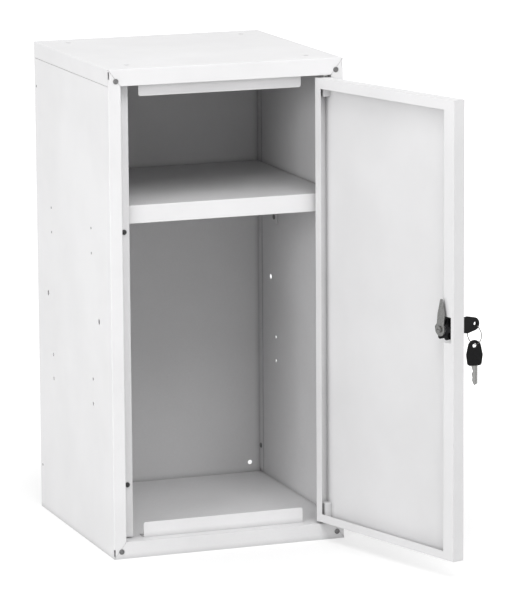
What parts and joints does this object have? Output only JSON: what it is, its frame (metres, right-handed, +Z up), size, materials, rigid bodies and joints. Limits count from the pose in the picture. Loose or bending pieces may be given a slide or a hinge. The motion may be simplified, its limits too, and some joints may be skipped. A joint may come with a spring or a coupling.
{
  "type": "storage locker",
  "caption": "Tall white steel locker box with an inner shelf, a hinged door standing open, a round cam lock and keys on a ring.",
  "frame": {"origin": "Middle of the carcass's square footprint, at the floor it stands on; the open door and its keys lie outside that footprint.", "axes": "+Z up, +Y from the door opening to the back, +X to the right as seen from the front; the door is hinged on the right."},
  "size_m": [0.3938, 0.5464, 0.6],
  "materials": {
    "white_powder_coat": "satin white powder coat with a faint fine texture",
    "zinc_steel": "bright zinc plated steel",
    "rivet_steel": "plain steel rivet",
    "lock_chrome": "polished chrome plated zinc casting",
    "lock_brass": "machined brass",
    "key_steel": "nickel plated steel, lightly brushed",
    "black_plastic": "black moulded plastic",
    "black_nut": "black moulded nylon nut",
    "nylon": "white nylon",
    "rubber": "soft grey rubber"
  },
  "bodies": {
    "carcass": {"top_cap": "white_powder_coat", "base_tray": "white_powder_coat", "left_side_panel": "white_powder_coat", "right_side_panel": "white_powder_coat", "back_panel": "white_powder_coat", "shelf": "white_powder_coat", "upper_door_stop": "white_powder_coat", "lower_door_stop": "white_powder_coat", "door_stop_rivets": "rivet_steel", "corner_plates": "zinc_steel", "corner_rivets": "rivet_steel", "shelf_bracket_rivets": "rivet_steel", "back_panel_rivets": "rivet_steel", "stacking_rivet_nuts": "zinc_steel", "upper_hinge_bush": "nylon", "lower_hinge_bush": "nylon", "left_front_shelf_bracket": "white_powder_coat", "left_back_shelf_bracket": "white_powder_coat", "right_front_shelf_bracket": "white_powder_coat", "right_back_shelf_bracket": "white_powder_coat", "upper_door_buffer": "rubber", "lower_door_buffer": "rubber"},
    "door": {"door_panel": "white_powder_coat", "lock_body": "lock_chrome", "lock_washer": "zinc_steel", "lock_nut": "black_nut", "upper_hinge_pin": "zinc_steel", "lower_hinge_pin": "zinc_steel", "upper_hinge_block": "white_powder_coat", "lower_hinge_block": "white_powder_coat"},
    "lock_cylinder": {"lock_plug": "lock_brass", "lock_cam": "zinc_steel", "cam_screw": "zinc_steel"},
    "key": {"key_blade": "key_steel", "key_head": "black_plastic"},
    "key_ring": {"key_ring": "key_steel"},
    "spare_key": {"spare_key_blade": "key_steel", "spare_key_head": "black_plastic"}
  },
  "joints": [
    {"name": "door_hinge", "type": "hinge", "parent": "carcass", "child": "door", "pos_m": [0.1275, -0.1454, 0.3], "axis": [0, 0, 1], "range_deg": [-107, 2]},
    {"name": "lock_turn", "type": "hinge", "parent": "door", "child": "lock_cylinder", "pos_m": [0.20148, -0.37166, 0.303], "axis": [0.9563, 0.2924, 0], "range_deg": [0, 90]},
    {"name": "key_slide", "type": "slide", "parent": "lock_cylinder", "child": "key", "axis": [0.9563, 0.2924, 0], "range_m": [0, 0.024]},
    {"name": "ring_swing", "type": "hinge", "parent": "key", "child": "key_ring", "pos_m": [0.23352, -0.36186, 0.3013], "axis": [0.3907, -0.9205, 0], "range_deg": [-12, 45]},
    {"name": "spare_key_swing", "type": "hinge", "parent": "key_ring", "child": "spare_key", "pos_m": [0.23352, -0.36186, 0.2783], "axis": [0.3907, -0.9205, 0], "range_deg": [-12, 30]}
  ]
}
